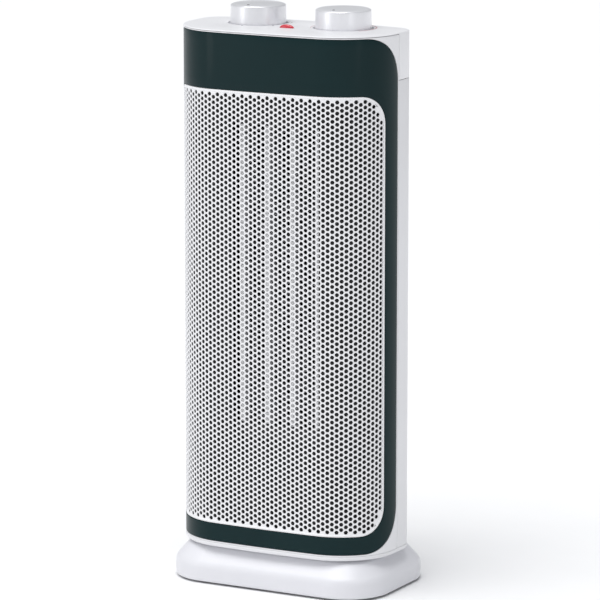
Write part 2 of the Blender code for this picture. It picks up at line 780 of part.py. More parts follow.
drum_origin = (0.0, FAN_Y, 100.0)
turned("motor_rotor", "steel", ring_profile(SHAFT_R + GAP, 11.0, 78.0, 101.0), 0.0, FAN_Y, 24, closed=True, origin=drum_origin)
turned("fan_shaft", "steel", disc_profile(SHAFT_R, 74.0, 350.0, 0.3), 0.0, FAN_Y, 16, origin=drum_origin)
bm = bmesh.new()
BLADES = 20
outer = []
inner = []
for k in range(BLADES):
    for step, r in ((0.0, 16.4), (0.35, 16.4), (0.5, DRUM_R), (0.85, DRUM_R)):
        a = 2.0 * math.pi * (k + step) / BLADES
        outer.append((r * math.cos(a), FAN_Y + r * math.sin(a)))
        inner.append((13.5 * math.cos(a), FAN_Y + 13.5 * math.sin(a)))
rings = []
for line, z in ((outer, 122.0), (outer, 328.0), (inner, 328.0), (inner, 122.0)):
    rings.append([bm.verts.new((x, y, z)) for x, y in line])
for i in range(4):
    a = rings[i]
    b = rings[(i + 1) % 4]
    for k in range(len(a)):
        m = (k + 1) % len(a)
        bm.faces.new((a[k], a[m], b[m], b[k]))
finish("fan_drum", bm, "black_plastic", origin=drum_origin)
for name, z in (("fan_disc_lower", 118.7), ("fan_disc_upper", 328.3)):
    profile = ring_profile(SHAFT_R + GAP, DRUM_R, z, z + 3.0)
    turned(name, "black_plastic", profile, 0.0, FAN_Y, 32, closed=True, origin=drum_origin)
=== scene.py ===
"""Looks of the fan convector heater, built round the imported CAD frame."""

import json
import math

import bmesh
import bpy
import numpy as np
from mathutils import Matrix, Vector


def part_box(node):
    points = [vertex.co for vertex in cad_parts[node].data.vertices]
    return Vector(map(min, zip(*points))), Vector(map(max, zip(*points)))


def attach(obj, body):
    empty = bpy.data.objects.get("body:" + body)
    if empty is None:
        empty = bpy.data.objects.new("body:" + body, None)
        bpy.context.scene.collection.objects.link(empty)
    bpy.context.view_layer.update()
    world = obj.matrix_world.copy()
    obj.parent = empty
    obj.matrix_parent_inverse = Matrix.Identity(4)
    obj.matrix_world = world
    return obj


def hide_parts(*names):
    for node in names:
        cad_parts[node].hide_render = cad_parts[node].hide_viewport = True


MM = 0.001

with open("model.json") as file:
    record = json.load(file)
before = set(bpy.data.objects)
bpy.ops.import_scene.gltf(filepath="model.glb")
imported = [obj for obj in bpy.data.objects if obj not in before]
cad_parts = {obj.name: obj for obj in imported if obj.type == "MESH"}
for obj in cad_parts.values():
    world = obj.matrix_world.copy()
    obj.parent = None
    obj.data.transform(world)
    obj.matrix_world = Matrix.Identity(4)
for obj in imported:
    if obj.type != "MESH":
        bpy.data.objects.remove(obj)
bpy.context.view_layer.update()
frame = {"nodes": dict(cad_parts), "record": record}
nodes = frame["nodes"]

# Sizes in millimetres, the same as the CAD's. S is measured along the tower's plan line, from the middle of
# its front, and a LINE is an outline on the front skin: half width in S, bottom, top and corner radius.
FRONT_Y = -53.5
FRONT_HALF, FRONT_R = 42.5, 900.0
CORNER_R = 44.6
SIDE_LENGTH = 16.0
REAR_CORNER_R = 16.0
BACK_R = 400.0
FRAME_S = 114.5
PANEL_LINE = (112.8, 32.8, 410.9, 33.0)
GRILLE_LINE = (97.2, 46.3, 369.6, 21.0)
SKIN_Z1 = 411.7
FLOOR_Z0, FLOOR_Z1 = 28.3, 31.5
SEAM_Z = 378.3
COVER_Z = 412.9
SWING_Y = -8.5
BASE_W, BASE_D, BASE_R = 87.0, 56.5, 34.0
BASE_TOP_Z = 27.0
KNOB_R = 20.6
KNOB_X, KNOB_Y = 35.3, 4.0
WELL_R, WELL_Z = 22.3, 410.1
SHAFT_HOLE_R = 3.6
LENS_Y = -17.0
GAP = 0.3
SEAT_DEPTH = 2.8
SLOT_ROWS, SLOT_Z0, SLOT_PITCH, SLOT_H = 14, 120.0, 8.0, 3.4

# Sizes of the visual model alone. Its skin starts 0.2 mm below the CAD's, its air window is 3.5 mm smaller
# all round, and its intake slots are measured along the plan line and not across.
SKIN_Z0 = 31.6
AIR_LINE = (80.5, 59.5, 356.5, 13.0)
AIR_BACK = 5.1
SLOT_NEAR, SLOT_FAR = 2.5, 45.0
JOIN_S = FRAME_S + 0.12
HOLE_PITCH, HOLE_R = 4.0, 1.60
WEB_T = 0.55
RIM_W = 1.5
GRILLE_SINK = 0.25
CAP_EDGE_R = 0.75
WALL_T = 2.0
CAP_WALL_T = 0.8


# ---------------------------------------------------------------- the tower's plan line
def plan_table():
    """Arc length, heading, x and y along half of the plan line, and where its five stretches end."""
    start = FRONT_HALF / FRONT_R
    turn = 0.5 * math.pi - start
    half_w = FRONT_R * math.sin(start) + CORNER_R * (1.0 - math.sin(start))
    back = math.asin((half_w - REAR_CORNER_R) / (BACK_R - REAR_CORNER_R))
    rear_turn = 0.5 * math.pi - back
    lengths = (FRONT_HALF, CORNER_R * turn, SIDE_LENGTH, REAR_CORNER_R * rear_turn, BACK_R * back)
    bends = (1.0 / FRONT_R, 1.0 / CORNER_R, 0.0, 1.0 / REAR_CORNER_R, 1.0 / BACK_R)
    s = [0.0]
    h = [0.0]
    for length, bend in zip(lengths, bends):
        n = max(40, int(length / 0.1))
        for _ in range(n):
            s.append(s[-1] + length / n)
            h.append(h[-1] + bend * length / n)
    s = np.array(s)
    h = np.array(h)
    ds = np.diff(s)
    mid = 0.5 * (h[1:] + h[:-1])
    x = np.concatenate([[0.0], np.cumsum(ds * np.cos(mid))])
    y = FRONT_Y + np.concatenate([[0.0], np.cumsum(ds * np.sin(mid))])
    return s, h, x, y, np.cumsum(lengths)


PS, PH, PX, PY, BREAKS = plan_table()
HALF = float(PS[-1])
STRETCH_STEPS = (5.0, 1.6, 5.0, 0.8, 5.0)
LEAST_STEP = 0.3


def plan(s, inset=0.0):
    """Points at arc lengths s from the middle of the front, moved inwards by inset."""
    s = (np.asarray(s, float) + HALF) % (2.0 * HALF) - HALF
    a = np.abs(s)
    side = np.where(s >= 0.0, 1.0, -1.0)
    h = np.interp(a, PS, PH)
    x = np.interp(a, PS, PX) - inset * np.sin(h)
    y = np.interp(a, PS, PY) + inset * np.cos(h)
    return side * x, y


def plan_stops(s0, s1, extra=()):
    """Arc lengths from s0 to s1, close together where the plan bends, with the extra ones among them."""
    fixed = {round(s, 4) for s in (s0, s1, *extra)}
    found = set(fixed)
    edges = [0.0] + list(BREAKS)
    for lap in (0.0, 2.0 * HALF):
        for sign in (-1.0, 1.0):
            for i, step in enumerate(STRETCH_STEPS):
                length = edges[i + 1] - edges[i]
                n = max(2, int(length / step))
                for k in range(n + 1):
                    s = sign * (edges[i] + length * k / n) + lap
                    if s0 + 0.4 < s < s1 - 0.4:
                        found.add(round(s, 4))
    ordered = sorted(found)
    kept = ordered[:1]
    for s in ordered[1:]:
        close = s - kept[-1] < LEAST_STEP
        if not close or (s in fixed and kept[-1] in fixed):
            kept.append(s)
        elif s in fixed:
            kept[-1] = s
    return kept


def plan_row(bm, stops, inset, z):
    """A row of vertices along the plan line, at one height."""
    x, y = plan(stops, inset)
    return [bm.verts.new(p) for p in zip(x, y, np.full(len(stops), z))]


# ---------------------------------------------------------------- mesh helpers
def make(
    name, bm, body, replaces=(), finish=(), sharp=30.0, recalc=True, solid=None, offset=-1.0,
    holes=None
):
    """Turns a bmesh in millimetres into a piece that rides on a body.

    Solid is the thickness of a wall to grow on an open shell, and holes is a bmesh to cut away. The second
    finish is for the inner face of such a wall, where it is painted shade, or for the faces that ask for it.
    """
    for v in bm.verts:
        v.co = v.co * MM
    if recalc:
        bmesh.ops.recalc_face_normals(bm, faces=bm.faces[:])
    mesh = bpy.data.meshes.new(name)
    bm.to_mesh(mesh)
    bm.free()
    obj = bpy.data.objects.new(name, mesh)
    bpy.context.scene.collection.objects.link(obj)
    for found in finish:
        mesh.materials.append(found)
    if solid:
        mod = obj.modifiers.new("wall", "SOLIDIFY")
        # The wall's inner face takes the second finish: black as painted shade inside the shell.
        mod.material_offset = 1 if len(finish) > 1 else 0
        mod.thickness = solid * MM
        mod.offset = offset
        mod.use_even_offset = True
    if holes:
        cutter = bpy.data.objects.new("holes", bpy.data.meshes.new("holes"))
        for v in holes.verts:
            v.co = v.co * MM
        bmesh.ops.recalc_face_normals(holes, faces=holes.faces[:])
        holes.to_mesh(cutter.data)
        holes.free()
        bpy.context.scene.collection.objects.link(cutter)
        mod = obj.modifiers.new("cut", "BOOLEAN")
        mod.operation = "DIFFERENCE"
        mod.solver = "EXACT"
        mod.object = cutter
    if solid or holes:
        bake(obj)
    if holes:
        bpy.data.objects.remove(cutter)
    mark_sharp(obj.data, sharp)
    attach(obj, body)
    if replaces:
        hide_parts(*replaces)
    return obj


def bake(obj):
    """Applies the modifiers, so that the mesh itself holds the shape."""
    bpy.context.view_layer.update()
    graph = bpy.context.evaluated_depsgraph_get()
    mesh = bpy.data.meshes.new_from_object(obj.evaluated_get(graph))
    obj.modifiers.clear()
    obj.data = mesh


def mark_sharp(mesh, degrees):
    """Shades a mesh smooth, apart from the edges that turn by more than some degrees."""
    bm = bmesh.new()
    bm.from_mesh(mesh)
    limit = math.radians(degrees)
    for face in bm.faces:
        face.smooth = True
    for edge in bm.edges:
        if len(edge.link_faces) == 2 and edge.calc_face_angle(0.0) > limit:
            edge.smooth = False
    bm.to_mesh(mesh)
    bm.free()


def bridge(bm, rows, close_rows=False, finishes=None):
    """Faces between closed rows of vertices that all have the same length."""
    count = len(rows) if close_rows else len(rows) - 1
    size = len(rows[0])
    for i in range(count):
        a = rows[i]
        b = rows[(i + 1) % len(rows)]
        for k in range(size):
            m = (k + 1) % size
            face = bm.faces.new((a[k], a[m], b[m], b[k]))
            if finishes is not None:
                face.material_index = finishes[i]


def circle(bm, x, y, z, r, steps):
    """A level ring of vertices."""
    turns = [2.0 * math.pi * k / steps for k in range(steps)]
    return [bm.verts.new((x + r * math.cos(a), y + r * math.sin(a), z)) for a in turns]


def lathe(bm, profile, x, y, steps):
    """Turns (radius, z) points about a vertical line. Points at radius 0 become one vertex."""
    rows = []
    for r, z in profile:
        if r < 1e-6:
            rows.append([bm.verts.new((x, y, z))])
        else:
            rows.append(circle(bm, x, y, z, r, steps))
    for a, b in zip(rows, rows[1:]):
        if len(a) == 1 and len(b) == 1:
            continue
        for k in range(steps):
            m = (k + 1) % steps
            if len(a) == 1:
                bm.faces.new((a[0], b[k], b[m]))
            elif len(b) == 1:
                bm.faces.new((a[k], b[0], a[m]))
            else:
                bm.faces.new((a[k], b[k], b[m], a[m]))


def slab(bm, x0, x1, y0, y1, z0, z1):
    """A box between two x, two y and two z values."""
    plan_corners = ((x0, y0), (x1, y0), (x1, y1), (x0, y1))
    rows = [[bm.verts.new((x, y, z)) for x, y in plan_corners] for z in (z0, z1)]
    bridge(bm, rows)
    for row in rows:
        bm.faces.new(row)


def rounded(points, radius=1.0, steps=5):
    """A polyline with its inner corners rounded, for profiles."""
    out = [points[0]]
    for p, q, r in zip(points, points[1:], points[2:]):
        p, q, r = (np.array(v[:2], float) for v in (p, q, r))
        before = p - q
        after = r - q
        reach = min(radius, 0.45 * np.linalg.norm(before), 0.45 * np.linalg.norm(after))
        a = q + before / np.linalg.norm(before) * reach
        b = q + after / np.linalg.norm(after) * reach
        for k in range(steps + 1):
            t = k / steps
            out.append(tuple((1 - t) ** 2 * a + 2 * t * (1 - t) * q + t * t * b))
    out.append(points[-1])
    return out


def rounded_rectangle(half_w, half_d, r, arc=20, side=10):
    """A closed outline with some points on each corner's arc and some on each straight side."""
    points = []
    for cx, cy, a0 in ((1, -1, -90), (1, 1, 0), (-1, 1, 90), (-1, -1, 180)):
        for i in range(arc + 1):
            a = math.radians(a0 + 90.0 * i / arc)
            points.append((cx * (half_w - r) + r * math.cos(a), cy * (half_d - r) + r * math.sin(a)))
    out = []
    for i, p in enumerate(points):
        q = points[(i + 1) % len(points)]
        out.append(p)
        if (i + 1) % (arc + 1) == 0:
            for k in range(1, side):
                out.append((p[0] + (q[0] - p[0]) * k / side, p[1] + (q[1] - p[1]) * k / side))
    return out


# Loops on the tower's front skin, all with the same number of (s, z) points.
REACH = 36.0
TOP_STEPS = 44
CORNER_STEPS = 26
SIDE_STEPS = 2


def corner(half_s, z0, z1, r, quarter):
    """A corner of an outline with its straight run-ins, in the same number of points at any radius."""
    sx = 1 if quarter in (0, 1) else -1
    sz = 1 if quarter in (1, 2) else -1
    straight = REACH - r
    total = 2.0 * straight + 0.5 * math.pi * r
    points = []
    for k in range(CORNER_STEPS + 1):
        d = total * k / CORNER_STEPS
        if d <= straight:
            across, along = REACH - d, 0.0
        elif d >= total - straight:
            across, along = 0.0, REACH - (total - d)
        else:
            a = (d - straight) / r
            across = r * (1.0 - math.sin(a))
            along = r * (1.0 - math.cos(a))
        if quarter in (1, 3):
            across, along = along, across
        points.append((sx * (half_s - across), (z1 if sz > 0 else z0) - sz * along))
    return points


def skin_loop(half_s, z0, z1, r):
    """The (s, z) points of an outline on the front skin."""
    loop = []
    flat = half_s - REACH
    for k in range(1, TOP_STEPS):
        loop.append((-flat + 2.0 * flat * k / TOP_STEPS, z0))
    loop.extend(corner(half_s, z0, z1, r, 0))
    for k in range(1, SIDE_STEPS):
        loop.append((half_s, z0 + REACH + (z1 - z0 - 2 * REACH) * k / SIDE_STEPS))
    loop.extend(corner(half_s, z0, z1, r, 1))
    for k in range(1, TOP_STEPS):
        loop.append((flat - 2.0 * flat * k / TOP_STEPS, z1))
    loop.extend(corner(half_s, z0, z1, r, 2))
    for k in range(1, SIDE_STEPS):
        loop.append((-half_s, z1 - REACH - (z1 - z0 - 2 * REACH) * k / SIDE_STEPS))
    loop.extend(corner(half_s, z0, z1, r, 3))
    return np.array(loop)


def skin_rows(bm, stations):
    """Rows of vertices from (loop, inset, rings before the next) stations; also each row's station."""
    rows = []
    owner = []
    for i, (loop, inset, rings) in enumerate(stations):
        nxt, nxt_inset = stations[(i + 1) % len(stations)][:2]
        for k in range(rings):
            t = k / rings
            mixed = loop + (nxt - loop) * t
            x, y = plan(mixed[:, 0], inset + (nxt_inset - inset) * t)
            rows.append([bm.verts.new(p) for p in zip(x, y, mixed[:, 1])])
            owner.append(i)
    return rows, owner


def inset_line(line, d):
    """An outline moved inwards by d, or outwards when d is negative."""
    half_s, z0, z1, r = line
    return half_s - d, z0 + d, z1 - d, r - d


def edge_round(line, radius, inward, steps=4):
    """Stations that round an outline's front edge. Inward is 1 for an outer edge and -1 for a window."""
    out = []
    for k in range(steps + 1):
        a = 0.5 * math.pi * k / steps
        shrink = inward * radius * (1.0 - math.cos(a))
        out.append((skin_loop(*inset_line(line, shrink)), radius * (1.0 - math.sin(a)), 1))
    return out


# ---------------------------------------------------------------- materials
def noise(tree, place, scale, detail):
    """A noise texture in object coordinates."""
    node = tree.nodes.new("ShaderNodeTexNoise")
    node.inputs["Scale"].default_value = scale
    node.inputs["Detail"].default_value = detail
    tree.links.new(place.outputs["Vector"], node.inputs["Vector"])
    return node


def relief(tree, shader, height, strength, distance):
    """Bumps the shader's surface with a height."""
    node = tree.nodes.new("ShaderNodeBump")
    node.inputs["Strength"].default_value = strength
    node.inputs["Distance"].default_value = distance
    tree.links.new(height, node.inputs["Height"])
    tree.links.new(node.outputs["Normal"], shader.inputs["Normal"])


def material(
    name, colour, rough, metallic=0.0, bump=0.0, bump_scale=900.0, vary=0.03, rough_vary=0.05, coat=0.0,
    coat_rough=0.05, stretch=(1.0, 1.0, 1.0), specular=0.5
):
    """A finish whose colour varies broadly and whose roughness and relief vary finely."""
    mat = bpy.data.materials.new(name)
    mat.use_nodes = True
    tree = mat.node_tree
    shader = tree.nodes["Principled BSDF"]
    shader.inputs["Metallic"].default_value = metallic
    shader.inputs["IOR"].default_value = 1.5
    shader.inputs["Specular IOR Level"].default_value = specular
    shader.inputs["Coat Weight"].default_value = coat
    shader.inputs["Coat Roughness"].default_value = coat_rough
    where = tree.nodes.new("ShaderNodeTexCoord")
    place = tree.nodes.new("ShaderNodeMapping")
    place.inputs["Scale"].default_value = stretch
    tree.links.new(where.outputs["Object"], place.inputs["Vector"])
    broad = noise(tree, place, 22.0, 3.0)
    fine = noise(tree, place, bump_scale, 4.0)
    fine.inputs["Roughness"].default_value = 0.6
    ramp = tree.nodes.new("ShaderNodeValToRGB")
    low, high = ramp.color_ramp.elements
    low.position, high.position = 0.3, 0.7
    low.color = (*[max(0.0, c * (1.0 - vary)) for c in colour], 1.0)
    high.color = (*[min(1.0, c * (1.0 + vary)) for c in colour], 1.0)
    tree.links.new(broad.outputs["Fac"], ramp.inputs["Fac"])
    tree.links.new(ramp.outputs["Color"], shader.inputs["Base Color"])
    spread = tree.nodes.new("ShaderNodeMapRange")
    spread.inputs["To Min"].default_value = max(0.02, rough - rough_vary)
    spread.inputs["To Max"].default_value = min(1.0, rough + rough_vary)
    tree.links.new(fine.outputs["Fac"], spread.inputs["Value"])
    tree.links.new(spread.outputs["Result"], shader.inputs["Roughness"])
    if bump > 0.0:
        relief(tree, shader, fine.outputs["Fac"], bump, 0.0002)
    return mat


def spun_silver(name):
    """Satin silver plating with fine turned rings that follow the knob's own axis."""
    mat = material(
        name, (0.86, 0.86, 0.885), 0.34, metallic=0.66, vary=0.05, rough_vary=0.10, bump_scale=700.0,
        stretch=(1.0, 1.0, 0.04)
    )
    tree = mat.node_tree
    where = tree.nodes.new("ShaderNodeTexCoord")
    rings = tree.nodes.new("ShaderNodeTexWave")
    rings.wave_type = "RINGS"
    rings.rings_direction = "Z"
    rings.inputs["Scale"].default_value = 900.0
    rings.inputs["Distortion"].default_value = 0.6
    tree.links.new(where.outputs["Object"], rings.inputs["Vector"])
    relief(tree, tree.nodes["Principled BSDF"], rings.outputs["Fac"], 0.12, 0.00005)
    return mat


WHITE = material(
    "moulded_white", (0.785, 0.785, 0.805), 0.36, bump=0.10, bump_scale=1400.0, vary=0.012, coat=0.06,
    coat_rough=0.25
)
BASE_WHITE = material(
    "moulded_white_base", (0.72, 0.72, 0.755), 0.33, bump=0.10, bump_scale=1400.0, vary=0.012, coat=0.08,
    coat_rough=0.25
)
GRILLE_WHITE = material(
    "moulded_white_grille", (0.83, 0.83, 0.845), 0.40, bump=0.06, bump_scale=1200.0, vary=0.015
)
PANEL = material(
    "gloss_dark_teal", (0.0050, 0.0200, 0.0220), 0.30, bump=0.02, bump_scale=260.0, vary=0.06,
    rough_vary=0.03, coat=0.06, coat_rough=0.06, specular=0.10
)
# Black for the black plastic parts, and also painted shade on the inner faces of the white shells and on the
# frame's seat behind the grille.
BLACK_AND_SHADE = material("moulded_black_and_painted_shade", (0.012, 0.012, 0.013), 0.55, bump=0.2, bump_scale=1100.0, vary=0.15)
RUBBER = material("rubber_black", (0.02, 0.02, 0.021), 0.75, bump=0.35, bump_scale=800.0, vary=0.2)
SILVER = spun_silver("spun_silver")
STEEL = material(
    "zinc_steel", (0.56, 0.56, 0.58), 0.34, metallic=1.0, bump=0.1, bump_scale=300.0, vary=0.08,
    rough_vary=0.1
)
ALLOY = material(
    "mill_aluminium", (0.93, 0.93, 0.94), 0.38, metallic=0.1, bump=0.15, bump_scale=240.0, vary=0.05,
    rough_vary=0.1, stretch=(1.0, 1.0, 0.12)
)
FIN = material(
    "fin_aluminium", (0.50, 0.50, 0.52), 0.42, metallic=0.3, bump=0.15, bump_scale=300.0, vary=0.1,
    rough_vary=0.1
)
CERAMIC = material("mineral_holder", (0.05, 0.05, 0.052), 0.7, bump=0.3, bump_scale=500.0, vary=0.1)
COPPER = material(
    "copper_winding", (0.24, 0.13, 0.08), 0.42, metallic=0.8, bump=0.5, bump_scale=200.0, vary=0.15,
    stretch=(1.0, 1.0, 8.0)
)
LENS = material("red_lens", (0.62, 0.045, 0.065), 0.22, bump=0.03, bump_scale=500.0, vary=0.08, coat=0.3)
PRINT = material("printed_scale", (0.55, 0.36, 0.38), 0.5, bump=0.02, vary=0.08)
DOT = material("printed_dot", (0.10, 0.10, 0.11), 0.45, bump=0.02, vary=0.08)

CAD_FINISH = {
    "white_plastic": WHITE,
    "dark_panel": PANEL,
    "grille_plastic": GRILLE_WHITE,
    "silver_knob": SILVER,
    "red_lens": LENS,
    "black_plastic": BLACK_AND_SHADE,
    "steel": STEEL,
    "aluminium": ALLOY,
    "ceramic": CERAMIC,
    "rubber": RUBBER,
    "copper": COPPER,
}
for row in frame["record"]["subparts"]:
    found = FIN if row["node"].startswith("fin_pack") else CAD_FINISH[row["material_slot"]]
    mesh = nodes[row["node"]].data
    mesh.materials.clear()
    mesh.materials.append(found)


# ---------------------------------------------------------------- front grille
# Every cell corner lies at least this far inside the outline. The height is close to half the grille's own.
PULL_ROOM = 0.25
PULL_HALF_H = 161.0


def grille_room(s, z):
    """How far a point lies inside the grille's outline, with z counted from the grille's middle."""
    half_s, z0, z1, r = GRILLE_LINE
    half_z = 0.5 * (z1 - z0)
    ds = abs(s) - (half_s - r)
    dz = abs(z) - (half_z - r)
    if ds > 0.0 and dz > 0.0:
        return r - math.hypot(ds, dz)
    return min(half_s - abs(s), half_z - abs(z))


def pull(s, z):
    """Moves a cell corner towards the grille's middle until it lies inside the outline."""
    for _ in range(30):
        if grille_room(s, z) >= PULL_ROOM:
            break
        s *= 1.0 - PULL_ROOM / GRILLE_LINE[0]
        z *= 1.0 - PULL_ROOM / PULL_HALF_H
    return s, z


def grille_plate(name, rows):
    """Some rows of the grille's six-sided cells, each with a round hole where the rim leaves room for one."""
    column = HOLE_PITCH * math.sqrt(3.0) / 2.0
    cell = HOLE_PITCH / math.sqrt(3.0)
    mid_z = 0.5 * (GRILLE_LINE[1] + GRILLE_LINE[2])
    hexagon = [math.radians(60.0 * k) for k in range(6)]
    twelve = [math.radians(30.0 * k) for k in range(12)]
    verts = []
    faces = []
    seen = {}

    def shared(s, z, inset):
        """The number of a vertex that neighbouring cells share."""
        key = (round(s, 2), round(z, 2), inset)
        if key not in seen:
            seen[key] = len(verts)
            verts.append((s, z, inset))
        return seen[key]

    for i in range(-28, 29):
        for j in rows:
            s = i * column
            z = j * HOLE_PITCH + (0.5 * HOLE_PITCH if i % 2 else 0.0)
            inside = grille_room(s, z)
            if inside < 0.4:
                continue
            corners = [(s + cell * math.cos(a), z + cell * math.sin(a)) for a in hexagon]
            if min(grille_room(*c) for c in corners) < PULL_ROOM:
                corners = [pull(*c) for c in corners]
            front = [shared(cs, cz, 0.0) for cs, cz in corners]
            if inside < HOLE_R + RIM_W + 0.15:
                if len(set(front)) == 6:
                    faces.append(tuple(front))
                continue
            back = [shared(cs, cz, WEB_T) for cs, cz in corners]
            first = len(verts)
            for a in twelve:
                verts.append((s + HOLE_R * math.cos(a), z + HOLE_R * math.sin(a), 0.0))
            deep = len(verts)
            for a in hexagon:
                verts.append((s + HOLE_R * math.cos(a), z + HOLE_R * math.sin(a), WEB_T))
            for k in range(6):
                m = (k + 1) % 6
                a, b, c = first + 2 * k, first + 2 * k + 1, first + (2 * k + 2) % 12
                faces.append((front[k], front[m], b))
                faces.append((front[k], b, a))
                faces.append((front[m], c, b))
                faces.append((a, b, deep + k))
                faces.append((b, c, deep + m, deep + k))
                faces.append((back[m], back[k], deep + k, deep + m))
    points = np.array(verts)
    x, y = plan(points[:, 0], points[:, 2] + GRILLE_SINK)
    mesh_points = np.stack([x, y, points[:, 1] + mid_z], 1) * MM
    mesh = bpy.data.meshes.new(name)
    mesh.from_pydata(mesh_points.tolist(), [], faces)
    mesh.validate()
    obj = bpy.data.objects.new(name, mesh)
    bpy.context.scene.collection.objects.link(obj)
    mesh.materials.append(GRILLE_WHITE)
    mark_sharp(mesh, 40.0)
    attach(obj, "tower")
    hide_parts("front_grille")


def grille_rim():
    """The plain rolled rim round the holes."""
    bm = bmesh.new()
    back = 1.9
    hole_edge = skin_loop(*inset_line(GRILLE_LINE, RIM_W))
    inner = skin_loop(*inset_line(GRILLE_LINE, RIM_W + 0.3))
    stations = [(skin_loop(*GRILLE_LINE), back, 1)]
    stations += edge_round(GRILLE_LINE, 0.6, 1)
    stations += [(hole_edge, 0.02, 1), (inner, 0.3, 1), (inner, back, 1)]
    rows, _ = skin_rows(bm, stations)
    bridge(bm, rows, close_rows=True)
    make("grille_rim", bm, "tower", ("front_grille",), (GRILLE_WHITE,), sharp=35.0)


grille_plate("grille_upper", range(0, 45))
grille_plate("grille_lower", range(-44, 0))
grille_rim()


# ---------------------------------------------------------------- front panel and frame
def front_panel():
    """The glossy panel, with a window for the grille."""
    bm = bmesh.new()
    back = 2.0
    window = inset_line(GRILLE_LINE, -GAP)
    stations = [(skin_loop(*PANEL_LINE), back, 1)]
    stations += edge_round(PANEL_LINE, 0.7, 1)
    stations[-1] = (*stations[-1][:2], 6)
    stations += reversed(edge_round(window, 0.4, -1))
    stations.append((skin_loop(*window), back, 6))
    rows, _ = skin_rows(bm, stations)
    bridge(bm, rows, close_rows=True)
    make("gloss_panel", bm, "tower", ("front_panel",), (PANEL,), sharp=40.0)


def front_frame():
    """The white rim round the panel, and the seat that reaches in behind it to the air window, black as
    painted shade.
    """
    bm = bmesh.new()
    outer = (FRAME_S, SKIN_Z0, SKIN_Z1, 0.8)
    seat = skin_loop(*inset_line(PANEL_LINE, -0.2))
    air = skin_loop(*AIR_LINE)
    stations = [(skin_loop(*outer), 4.5, 1)]
    stations += edge_round(outer, 0.25, 1, 2)
    stations[-1] = (*stations[-1][:2], 3)
    stations.append((seat, 0.0, 1))
    white_until = len(stations)
    stations += [(seat, SEAT_DEPTH, 6), (air, SEAT_DEPTH, 1), (air, AIR_BACK, 6)]
    rows, owner = skin_rows(bm, stations)
    # The seat behind the grille takes the second finish: black as painted shade inside the tower.
    bridge(bm, rows, close_rows=True, finishes=[0 if o < white_until else 1 for o in owner])
    make("frame_rim", bm, "tower", ("front_frame",), (WHITE, BLACK_AND_SHADE), sharp=35.0)


front_panel()
front_frame()


# ---------------------------------------------------------------- top cover, housing, tower floor
def top_face(bm, outline):
    """The flat top inside an outline, with a round well for each knob."""
    steps = 96
    well = (
        (WELL_R + 0.22, COVER_Z - 0.1),
        (WELL_R + 0.04, COVER_Z - 0.35),
        (WELL_R, COVER_Z - 0.7),
        (WELL_R, WELL_Z + 0.5),
        (WELL_R - 0.15, WELL_Z + 0.15),
        (WELL_R - 0.5, WELL_Z),
        (8.0, WELL_Z),
        (SHAFT_HOLE_R, WELL_Z),
    )
    edges = []
    for a, b in zip(outline, outline[1:] + outline[:1]):
        edges.append(bm.edges.get((a, b)) or bm.edges.new((a, b)))
    mouths = []
    for side in (-1, 1):
        mouth = circle(bm, side * KNOB_X, KNOB_Y, COVER_Z, WELL_R + 0.5, steps)
        mouths.append(mouth)
        for a, b in zip(mouth, mouth[1:] + mouth[:1]):
            edges.append(bm.edges.new((a, b)))
    bmesh.ops.triangle_fill(bm, edges=edges, use_beauty=True, use_dissolve=False)
    for side, mouth in zip((-1, 1), mouths):
        bridge(bm, [mouth] + [circle(bm, side * KNOB_X, KNOB_Y, z, r, steps) for r, z in well])


def top_cover():
    """A cap with a rounded top edge, and a skirt behind the frame down to the seam."""
    bm = bmesh.new()
    stops = plan_stops(-HALF, HALF, extra=(-JOIN_S, JOIN_S))[:-1]
    levels = [(0.0, SKIN_Z1 + 0.35)]
    for k in range(6):
        a = 0.5 * math.pi * k / 5
        levels.append((CAP_EDGE_R * (1.0 - math.cos(a)), COVER_Z - CAP_EDGE_R + CAP_EDGE_R * math.sin(a)))
    rows = [plan_row(bm, stops, inset, z) for inset, z in levels]
    bridge(bm, rows)
    top_face(bm, rows[-1])
    skirt = {}
    for k, s in enumerate(stops):
        if abs(s) >= JOIN_S - 1e-3:
            skirt[k] = plan_row(bm, [s], 0.0, SEAM_Z + GAP + 0.3) + plan_row(bm, [s], 0.25, SEAM_Z + GAP)
    for k in range(len(stops)):
        m = (k + 1) % len(stops)
        if k in skirt and m in skirt:
            bm.faces.new((rows[0][k], rows[0][m], skirt[m][0], skirt[k][0]))
            bm.faces.new((skirt[k][0], skirt[m][0], skirt[m][1], skirt[k][1]))
    holes = bmesh.new()
    slab(holes, -5.8, 5.8, LENS_Y - 1.8, LENS_Y + 1.8, 405.0, 418.0)
    # The cap's inner face takes black as painted shade inside the tower.
    make(
        "top_cap", bm, "tower", ("top_cover",), (WHITE, BLACK_AND_SHADE), sharp=40.0, solid=CAP_WALL_T,
        holes=holes
    )


def rear_housing():
    """The shell behind the frame, with two columns of air intake slots at the back."""
    bm = bmesh.new()
    slot_edges = (HALF - SLOT_FAR, HALF - SLOT_NEAR, HALF + SLOT_NEAR, HALF + SLOT_FAR)
    stops = plan_stops(JOIN_S, 2.0 * HALF - JOIN_S, extra=slot_edges)
    levels = [SKIN_Z0, SKIN_Z0 + 0.3]
    for k in range(SLOT_ROWS):
        z = SLOT_Z0 + SLOT_PITCH * k
        levels += [z, z + SLOT_H]
    levels += [SEAM_Z - 0.3, SEAM_Z]
    rows = []
    for i, z in enumerate(levels):
        inset = 0.25 if i in (0, len(levels) - 1) else 0.0
        rows.append(plan_row(bm, stops, inset, z))
    for i in range(len(levels) - 1):
        slot_level = 2 <= i < len(levels) - 2 and i % 2 == 0
        for k in range(len(stops) - 1):
            mid = 0.5 * (stops[k] + stops[k + 1])
            if slot_level and SLOT_NEAR < abs(mid - HALF) < SLOT_FAR:
                continue
            bm.faces.new((rows[i][k], rows[i][k + 1], rows[i + 1][k + 1], rows[i + 1][k]))
    # The inner face of the wall takes black as painted shade, seen through the intake slots.
    make(
        "back_shell", bm, "tower", ("rear_housing",), (WHITE, BLACK_AND_SHADE), sharp=40.0,
        solid=WALL_T
    )


